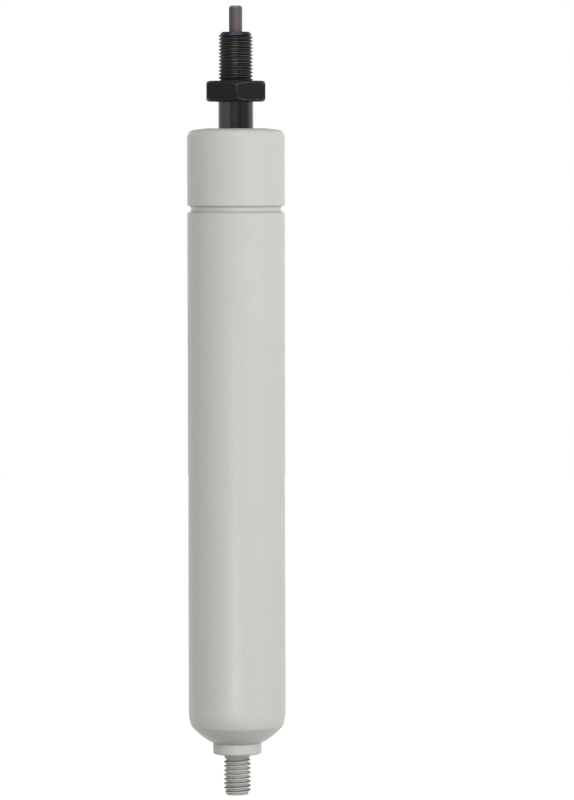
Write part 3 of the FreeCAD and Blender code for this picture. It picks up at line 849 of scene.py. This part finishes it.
def pin_finish(finishes):
    """Dull drawn steel with streaks along the pin, smoother and brighter on the end that is pressed."""
    made = Finish("drawn_steel")
    tint = finishes.pin_steel
    streaks = made.noise(1500, 3, DRAWN_STREAKS)
    drawn = made.mixed(made.spread(streaks, 0, 1), shade(tint, 0.8), shade(tint, 1.1))
    # Painted shade: darker on the pin's left side, away from the key lamp.
    left_shaded = made.mixed(made.along("X", -0.0001, -0.0015), drawn, shade(tint, 0.55))
    pressed = made.times(made.wear(), made.patches(0.6))
    made.set(
        Specular_IOR_Level=0.15,
        Base_Color=made.mixed(pressed, left_shaded, finishes.pin_worn),
        Metallic=made.scaled(pressed, 0.3, 1),
        Roughness=made.times(made.spread(streaks, 0.42, 0.55), made.scaled(pressed, 1, 0.45)),
    )
    made.bump(streaks, distance=0.000005, strength=0.3)
    return made.material


def turned(name, tint, rough):
    """Lays out a turned metal with fine rings round it, and returns the finish and its colour."""
    made = Finish(name)
    rings = made.noise(1200, 2, TURNED_RINGS)
    made.set(Roughness=made.spread(rings, rough, rough + 0.12))
    made.bump(rings, distance=0.000006, strength=0.25)
    return made, made.mixed(rings, shade(tint, 0.9), shade(tint, 1.1))


def turned_finish(name, tint, rough):
    """A turned piece of bare metal."""
    made, bare = turned(name, tint, rough)
    made.set(Metallic=1.0, Base_Color=bare)
    return made.material


def guide_finish(finishes):
    """Turned aluminium, with the tube's paint on the nose that shows inside the rim."""
    made, bare = turned("guide_aluminium", finishes.aluminium, 0.3)
    nose = made.under(GUIDE_TOP, 0.0012, 0.0008)
    made.set(Metallic=made.scaled(nose, 1, 0), Base_Color=made.mixed(nose, bare, finishes.paint))
    return made.material


def moulded_finish(name, tint, rough):
    """A moulded piece with a fine even grain."""
    made = Finish(name)
    grain = made.noise(3000, 3)
    made.set(
        Base_Color=made.mixed(grain, shade(tint, 0.8), shade(tint, 1.2)),
        Roughness=made.spread(grain, rough, rough + 0.15),
    )
    made.bump(grain, distance=0.00001, strength=0.3)
    return made.material


# Pieces


def tube_section(size):
    """The tube's half-section: out along the spun end, up the wall, over the rim and down the bore."""
    radius = TUBE_HIGH.x
    top = TUBE_HIGH.z
    foot_z = TUBE_LOW.z
    bore = radius - size.wall
    tilt = size.rim_slope

    def rim_height(at, depth):
        """Height of a surface at a depth under the rim's sloping top."""
        lip = math.sin(tilt) * (size.rim_hole + size.rim_lip) + math.cos(tilt) * (top - size.rim_lip)
        return (lip + size.rim_lip - depth - math.sin(tilt) * at) / math.cos(tilt)

    foot = place(STUD_HIGH.x, foot_z)
    bend_x = radius - size.bend
    knuckle = place(bend_x + size.bend * math.cos(size.bend_angle), foot_z + size.crown_height)
    bend = place(bend_x, knuckle.y + size.bend * math.sin(size.bend_angle))
    crown = arc_centre(foot, knuckle, size.crown)
    round_off = outer_meeting(bend, size.bend - size.knuckle, crown, size.crown - size.knuckle)
    inner_bend = size.bend - size.wall
    inner_crown = size.crown - size.wall
    inner_knuckle = outer_meeting(bend, inner_bend, crown, inner_crown)
    floor_z = foot_z + size.wall
    floor = place(crown.x + math.sqrt(inner_crown**2 - (crown.y - floor_z) ** 2), floor_z)

    groove_z = top - size.groove_drop
    flank = 2 * math.atan(2 * size.groove_depth / size.groove_width)
    root_size = size.groove_depth / (1 - math.cos(flank)) - size.groove_shoulder
    root = place(radius - size.groove_depth + root_size, groove_z)
    upper = place(radius - size.groove_shoulder, groove_z + size.groove_width / 2)
    lower = place(radius - size.groove_shoulder, groove_z - size.groove_width / 2)
    bead_size = root_size + size.wall
    bead_half = math.sqrt(bead_size**2 - (bead_size - size.groove_depth) ** 2)
    bead_turn = math.acos((bore - root.x) / bead_size)

    lip = place(size.rim_hole + size.rim_lip, top - size.rim_lip)
    shoulder_x = radius - size.shoulder
    shoulder = place(shoulder_x, rim_height(shoulder_x, size.shoulder))
    inside_x = bore - size.rim_inside
    inside = place(inside_x, rim_height(inside_x, size.wall + size.rim_inside))
    rim_face = math.pi / 2 - tilt

    spots = [place(size.weld_hole, foot_z), foot]
    spots += arc(crown, size.crown, angle_from(crown, foot), angle_from(crown, round_off))
    spots += arc(round_off, size.knuckle, angle_from(crown, round_off), angle_from(bend, round_off))
    spots += arc(bend, size.bend, angle_from(bend, round_off), 0)
    spots += wall(place(radius, bend.y), place(radius, lower.y))
    spots += arc(lower, size.groove_shoulder, 0, flank)
    spots += arc(root, root_size, math.pi + flank, math.pi - flank)
    spots += arc(upper, size.groove_shoulder, -flank, 0)
    spots += wall(place(radius, upper.y), place(radius, shoulder.y))
    spots += arc(shoulder, size.shoulder, 0, rim_face)
    spots += arc(lip, size.rim_lip, rim_face, math.pi)
    spots.append(place(size.rim_hole, rim_height(size.rim_hole, size.wall)))
    spots += arc(inside, size.rim_inside, rim_face, 0)
    spots.append(place(bore, groove_z + bead_half))
    spots += arc(root, bead_size, bead_turn, 2 * math.pi - bead_turn)
    spots.append(place(bore, bend.y))
    spots += arc(bend, inner_bend, 0, angle_from(bend, inner_knuckle))
    spots += arc(crown, inner_crown, angle_from(crown, inner_knuckle), angle_from(crown, floor))
    spots.append(place(size.weld_hole, floor_z))
    return without_repeats(spots)


def stud_turning(size):
    """The stud from its tip up: end face, thread, collar and weld spigot."""
    tip = STUD_LOW.z
    collar = STUD_HIGH.x
    foot = TUBE_LOW.z
    cone = (size.radius - size.tip_radius) / size.tip_length
    tip_corner = place(size.tip_radius, tip)
    cone_end = place(size.radius, tip + size.tip_length)
    fillet = place(size.neck + size.root_fillet, -size.root_fillet)

    def radius_at(height, depth):
        """Radius of the thread at a height and a share of its depth."""
        thinned = smooth_step(-2 * size.run_out, -size.run_out, height)
        filled = smooth_step(-size.run_out, -size.run_out / 2, height)
        outside = size.radius - thinned * (size.radius - size.neck)
        form = min(outside, size.radius - depth * THREAD_DEPTH * size.pitch)
        return min(form + filled * (outside - form), size.tip_radius + (height - tip) * cone)

    made = Turning(evenly(size.columns))
    made.ring(place(0, tip), 1)
    made.rings(softened(place(0, tip), tip_corner, cone_end, size.tip_edge), 1)
    made.thread(place(size.neck, fillet.y), 1, size.pitch, size.start, radius_at)
    made.rings(arc(fillet, size.root_fillet, math.pi, math.pi / 2)[1:], 1)
    made.rings(arc(place(collar - size.edge, size.edge), size.edge, -math.pi / 2, 0))
    made.rings(arc(place(collar - size.weld, foot - size.weld), size.weld, 0, math.pi / 4))
    made.rings(arc(place(collar, foot - size.weld_fill), size.weld_fill, math.pi, math.pi / 2))
    made.ring(place(size.spigot, foot))
    made.ring(place(size.spigot, STUD_HIGH.z))
    made.ring(place(0, STUD_HIGH.z))
    return made


def rod_turning(size):
    """The hollow rod from its foot up: spigot, shank, thread, end face and bore."""
    radius = ROD_HIGH.x
    top = ROD_HIGH.z
    start = NUT_LOW.z
    chamfer_low = place(size.thread_radius, top - size.chamfer)
    end_corner = place(size.thread_radius - size.chamfer, top)
    mouth_corner = place(size.bore + size.mouth, top)
    end_arc = softened(chamfer_low, end_corner, mouth_corner, size.edge)

    def radius_at(height, depth):
        """Radius of the thread at a height and a share of its depth."""
        begun = smooth_step(start, start + size.run_out, height)
        crest = radius - (radius - size.thread_radius) * begun
        cut = depth * THREAD_DEPTH * size.pitch * begun
        cone = end_corner.x + top - height
        return min(crest - cut, cone)

    made = Turning(evenly(size.columns))
    made.ring(place(size.bore, ROD_LOW.z))
    made.ring(place(size.spigot, ROD_LOW.z))
    made.ring(place(size.spigot, PISTON_TOP))
    made.ring(place(radius, PISTON_TOP))
    made.rings(wall(place(radius, PISTON_TOP), place(radius, start)))
    made.ring(place(radius, start))
    made.thread(end_arc[0], 0, size.pitch, size.start, radius_at)
    made.rings(end_arc[1:])
    made.ring(mouth_corner)
    made.ring(place(size.bore, top - size.mouth))
    made.close()
    return made


def hexagon(flats, size):
    """Radius and angle of points round a hexagon with softened corners, one near the front."""
    middle = (flats - size.corner) / math.cos(math.pi / 6)
    outline = []
    for index in range(6):
        facing = math.radians(60 * index - 90) + size.turn
        centre = on_circle(AXIS, middle, facing)
        for step in range(size.corner_steps + 1):
            turn = facing + math.pi / 3 * (step / size.corner_steps - 0.5)
            outline.append(on_circle(centre, size.corner, turn))
        next_centre = on_circle(AXIS, middle, facing + math.pi / 3)
        near = outline[-1]
        far = on_circle(next_centre, size.corner, facing + math.pi / 6)
        for step in range(1, size.flat_steps):
            outline.append(near.lerp(far, step / size.flat_steps))
    return [spot.length for spot in outline], [math.atan2(spot.y, spot.x) for spot in outline]


def nut_turning(size):
    """The nut from its lower countersink up its outside and down its bore."""
    flats = NUT_HIGH.x - size.slack
    radii, turns = hexagon(flats, size)
    slope = math.tan(size.chamfer_angle)
    face = flats - size.face_inset
    sink = size.bore + size.countersink
    eased = [radius - size.edge * math.cos(size.chamfer_angle) for radius in radii]
    tips = max(radii)
    upright = [smooth_step(tips - size.corner / 8, tips, radius) for radius in radii]

    # Drops from the nut's end, for each column
    level = [0.0] * len(turns)
    sunk = [size.countersink] * len(turns)
    lifted = [size.edge * slope / 2] * len(turns)
    eased_drops = [(radius - face) * slope for radius in eased]
    flat_drops = [(radius - face) * slope + size.edge for radius in radii]
    wall_drops = [drop + size.worn_width for drop in flat_drops]

    def rows(edge_wear):
        """Radii, drops and wear of the rows from the bore out to the flats."""
        return [
            (size.bore, sunk, 0.0),
            (sink, level, MOUTH_WEAR),
            (sink + size.worn_width, level, 0.0),
            (face - size.edge - size.worn_width, level, 0.0),
            (face - size.edge, level, CHAMFER_WEAR),
            (face, lifted, CHAMFER_WEAR),
            (eased, eased_drops, CHAMFER_WEAR),
            (radii, flat_drops, edge_wear),
            (radii, wall_drops, upright),
        ]

    made = Turning(turns)
    for reach, drops, wear in rows(LOWER_EDGE_WEAR):
        made.row(reach, [NUT_LOW.z + drop for drop in drops], wear)
    for reach, drops, wear in reversed(rows(UPPER_EDGE_WEAR)):
        made.row(reach, [NUT_HIGH.z - drop for drop in drops], wear)
    made.close()
    return made


def pin_turning(size):
    """The release pin from its foot up to its domed end."""
    radius = PIN_HIGH.x
    dome = place(0, PIN_HIGH.z - size.dome)
    edge_x = radius - size.edge
    edge = place(edge_x, dome.y + math.sqrt((size.dome - size.edge) ** 2 - edge_x**2))
    turn = angle_from(dome, edge)
    made = Turning(evenly(size.columns))
    made.ring(place(0, PIN_LOW.z))
    made.ring(place(radius, PIN_LOW.z))
    made.rings(wall(place(radius, PIN_LOW.z), place(radius, edge.y)))
    rounded = arc(edge, size.edge, 0, turn)
    for step, spot in enumerate(rounded):
        made.ring(spot, min(1, 2 * step / (len(rounded) - 1)))
    made.rings(arc(dome, size.dome, turn, math.pi / 2)[1:], 1)
    return made


class GASSPRING_OT_tube(bpy.types.Operator):
    """Turn the painted pressure tube"""

    bl_idname = "gas_spring.tube"
    bl_label = "Pressure tube"

    def execute(self, context):
        settings = context.scene.gas_spring
        made = Turning(evenly(settings.tube.columns))
        made.rings(tube_section(settings.tube))
        made.close()
        groove_z = TUBE_HIGH.z - settings.tube.groove_drop
        piece = made.piece("painted_tube", paint_finish(settings.finishes, groove_z))
        settle(piece, "cylinder", "pressure_tube")
        return {"FINISHED"}


class GASSPRING_OT_end_stud(bpy.types.Operator):
    """Turn the end stud with its collar and thread, in the tube's paint"""

    bl_idname = "gas_spring.end_stud"
    bl_label = "End stud"

    def execute(self, context):
        settings = context.scene.gas_spring
        thread_top = -settings.stud.root_fillet
        paint = bpy.data.materials[PAINT_NAME]
        thread_paint = stud_thread_finish(settings.finishes, thread_top)
        piece = stud_turning(settings.stud).piece("threaded_stud", paint, thread_paint)
        for face in piece.data.polygons:
            face.material_index = int(face.center.z < thread_top)
        settle(piece, "cylinder", "end_stud")
        return {"FINISHED"}


class GASSPRING_OT_rod(bpy.types.Operator):
    """Turn the hollow rod with its thread"""

    bl_idname = "gas_spring.rod"
    bl_label = "Piston rod"

    def execute(self, context):
        settings = context.scene.gas_spring
        shank = nitrided_finish(settings.finishes, "nitrided_shank", SHANK_ROUGHNESS)
        thread = nitrided_finish(settings.finishes, "nitrided_thread", THREAD_ROUGHNESS)
        piece = rod_turning(settings.rod).piece("threaded_rod", shank, thread)
        for face in piece.data.polygons:
            face.material_index = int(face.center.z > NUT_LOW.z)
        settle(piece, "rod", "piston_rod")
        return {"FINISHED"}


class GASSPRING_OT_lock_nut(bpy.types.Operator):
    """Make the thin hexagon nut"""

    bl_idname = "gas_spring.lock_nut"
    bl_label = "Lock nut"

    def execute(self, context):
        settings = context.scene.gas_spring
        piece = nut_turning(settings.nut).piece("hexagon_nut", blackened_finish(settings.finishes))
        settle(piece, "lock_nut", "lock_nut")
        return {"FINISHED"}


class GASSPRING_OT_release_pin(bpy.types.Operator):
    """Turn the release pin"""

    bl_idname = "gas_spring.release_pin"
    bl_label = "Release pin"

    def execute(self, context):
        settings = context.scene.gas_spring
        piece = pin_turning(settings.pin).piece("pressing_pin", pin_finish(settings.finishes))
        settle(piece, "release", "release_pin")
        return {"FINISHED"}


class GASSPRING_OT_inner_pieces(bpy.types.Operator):
    """Give the pieces inside the tube their finishes"""

    bl_idname = "gas_spring.inner_pieces"
    bl_label = "Inner pieces"

    def execute(self, context):
        finishes = context.scene.gas_spring.finishes
        steel = turned_finish("turned_steel", finishes.steel, 0.25)
        aluminium = turned_finish("turned_aluminium", finishes.aluminium, 0.3)
        bronze = turned_finish("sintered_bronze", finishes.bronze, 0.4)
        rubber = moulded_finish("moulded_rubber", finishes.rubber, 0.45)
        plastic = moulded_finish("moulded_plastic", finishes.plastic, 0.4)
        inner = {
            "guide_bush": guide_finish(finishes),
            "guide_bearing": bronze,
            "guide_o_ring": rubber,
            "rod_seal": rubber,
            "seal_support_ring": steel,
            "valve_pin": steel,
            "piston_body": aluminium,
            "piston_seal": rubber,
            "piston_guide_ring": plastic,
            "valve_stem_seal": rubber,
            "valve_spacer": bronze,
            "valve_seat_seal": rubber,
            "valve_retainer": steel,
            "separator_piston": aluminium,
            "separator_seal": rubber,
        }
        for name, material in inner.items():
            node = frame["nodes"][name]
            node.data.materials.clear()
            node.data.materials.append(material)
        return {"FINISHED"}


def light_tent(stage):
    """A white tent with an opening for the camera, which shows only in reflections."""
    world = bpy.data.worlds.new("light_tent")
    world.use_nodes = True
    tent = Nodes(world.node_tree)
    way = tent.parts(tent.coordinate("Generated"))
    light = tent.scaled(way["Z"], stage.wall_light, stage.roof_light)

    azimuth = tent.joined("ARCTAN2", way["X"], tent.times(way["Y"], -1))
    turn = tent.spread(azimuth, 0, 1, -math.pi, math.pi)
    sides = tent.ramp(turn, [(degrees / 360 + 0.5, level) for degrees, level in TENT_WALL])
    roof = tent.ramp(
        way["Z"],
        (
            (ROOF_START, 1.0),
            (ROOF_FULL, stage.roof_shine),
            (CEILING_START, stage.roof_shine),
            (CEILING_FULL, stage.ceiling_shine),
        ),
    )
    reflected = tent.between(tent.rays("Glossy"), light, tent.times(sides, roof))
    background = tent.tree.nodes["Background"]
    tent.feed(background.inputs["Color"], (1, 1, 1, 1))
    seen = tent.rays("Camera", "Transmission")
    tent.feed(background.inputs["Strength"], tent.between(seen, reflected, 1.0))
    bpy.context.scene.world = world


def pale_floor(stage):
    """A pale floor under the stud's tip, white to the camera where no shadow falls."""
    rim = [(*on_circle(AXIS, stage.floor_radius, turn), STUD_LOW.z) for turn in evenly(FLOOR_SIDES)]
    mesh = bpy.data.meshes.new("floor")
    mesh.from_pydata(rim, [], [list(range(FLOOR_SIDES))])
    made = Finish("pale_floor")
    seen = made.rays("Camera", "Glossy", "Transmission")
    made.set(
        Base_Color=(*stage.floor_colour, 1),
        Roughness=0.9,
        Specular_IOR_Level=0.0,
        Emission_Color=(1, 1, 1, 1),
        Emission_Strength=made.scaled(seen, 0, stage.floor_glow),
    )
    mesh.materials.append(made.material)
    into_scene("floor", mesh)


def soft_lamp(name, settings, spot, target):
    """A lamp at a spot, turned to a target and hidden from the camera."""
    lamp = bpy.data.lights.new(name, "AREA")
    lamp.shape = "RECTANGLE"
    lamp.energy = settings.power
    lamp.size = settings.width
    lamp.size_y = settings.height
    made = into_scene(name, lamp)
    made.location = spot
    made.rotation_euler = (spot - target).to_track_quat("Z", "Y").to_euler()
    made.visible_camera = False
    return made


def away(lamp):
    """How far and in which direction a lamp stands from the spring."""
    level = math.cos(lamp.elevation)
    right = math.sin(lamp.azimuth) * level
    back = -math.cos(lamp.azimuth) * level
    return Vector((right, back, math.sin(lamp.elevation))) * lamp.distance


def on_floor(lamp):
    """The middle of a lamp that stands on the floor."""
    spot = away(lamp)
    spot.z = STUD_LOW.z + lamp.height / 2 + FLOOR_GAP
    return spot


def lamps(stage):
    """A key lamp and one behind, left out of reflections, one over the camera and two on the floor.

    The one that stands nearer on the floor shows only in reflections.
    """
    middle = (CAD_BOX[0] + CAD_BOX[1]) / 2
    key = soft_lamp("key_lamp", stage.key, middle + away(stage.key), middle)
    key.visible_glossy = False
    back = soft_lamp("back_lamp", stage.back, middle + away(stage.back), middle)
    back.visible_glossy = False
    soft_lamp("front_lamp", stage.front, middle + away(stage.front), middle)
    low_target = Vector((0, 0, TUBE_LOW.z + LOW_AIM))
    soft_lamp("low_lamp", stage.low, on_floor(stage.low), low_target)
    glint_spot = on_floor(stage.glint)
    glint = soft_lamp("glint_lamp", stage.glint, glint_spot, Vector((0, 0, glint_spot.z)))
    glint.visible_diffuse = False


def set_camera(stage):
    """A long lens, a little to the right of the axis, that looks slightly down."""
    lens = bpy.data.cameras.new("camera")
    lens.sensor_width = SENSOR_WIDTH
    lens.lens = stage.lens
    made = into_scene("camera", lens)
    made.location = (stage.aside, -stage.distance, stage.height)
    way = Vector((stage.aside, 0, stage.aim)) - made.location
    turn = way.to_track_quat("-Z", "Y").to_matrix() @ Matrix.Rotation(stage.roll, 3, "Z")
    made.rotation_euler = turn.to_euler()
    bpy.context.scene.camera = made


class GASSPRING_OT_stage(bpy.types.Operator):
    """Set up the floor, the light and the camera"""

    bl_idname = "gas_spring.stage"
    bl_label = "Stage"

    def execute(self, context):
        stage = context.scene.gas_spring.stage
        context.scene.view_settings.view_transform = "Standard"
        light_tent(stage)
        pale_floor(stage)
        lamps(stage)
        set_camera(stage)
        return {"FINISHED"}


OPERATORS = (
    GASSPRING_OT_tube,
    GASSPRING_OT_end_stud,
    GASSPRING_OT_rod,
    GASSPRING_OT_lock_nut,
    GASSPRING_OT_release_pin,
    GASSPRING_OT_inner_pieces,
    GASSPRING_OT_stage,
)


class GASSPRING_PT_build(bpy.types.Panel):
    """Buttons for the pieces and the stage"""

    bl_idname = "GASSPRING_PT_build"
    bl_label = "Gas spring"
    bl_space_type = "VIEW_3D"
    bl_region_type = "UI"
    bl_category = "Gas spring"

    def draw(self, context):
        for operator in OPERATORS:
            self.layout.operator(operator.bl_idname)


CLASSES = (
    TubeSizes,
    StudSizes,
    RodSizes,
    NutSizes,
    PinSizes,
    Finishes,
    KeyLamp,
    BackLamp,
    FrontLamp,
    LowLamp,
    GlintLamp,
    StageSettings,
    GasSpring,
    *OPERATORS,
    GASSPRING_PT_build,
)


def register():
    """Registers the classes and the scene's settings."""
    for kind in CLASSES:
        bpy.utils.register_class(kind)
    bpy.types.Scene.gas_spring = PointerProperty(type=GasSpring)


def unregister():
    """Takes them away again."""
    del bpy.types.Scene.gas_spring
    for kind in reversed(CLASSES):
        bpy.utils.unregister_class(kind)


def main():
    """Builds every piece and the stage, and notes the boxes of the solids and of the looks."""
    register()
    bpy.ops.gas_spring.tube()
    bpy.ops.gas_spring.end_stud()
    bpy.ops.gas_spring.rod()
    bpy.ops.gas_spring.lock_nut()
    bpy.ops.gas_spring.release_pin()
    bpy.ops.gas_spring.inner_pieces()
    bpy.ops.gas_spring.stage()


if __name__ == "__main__":
    main()
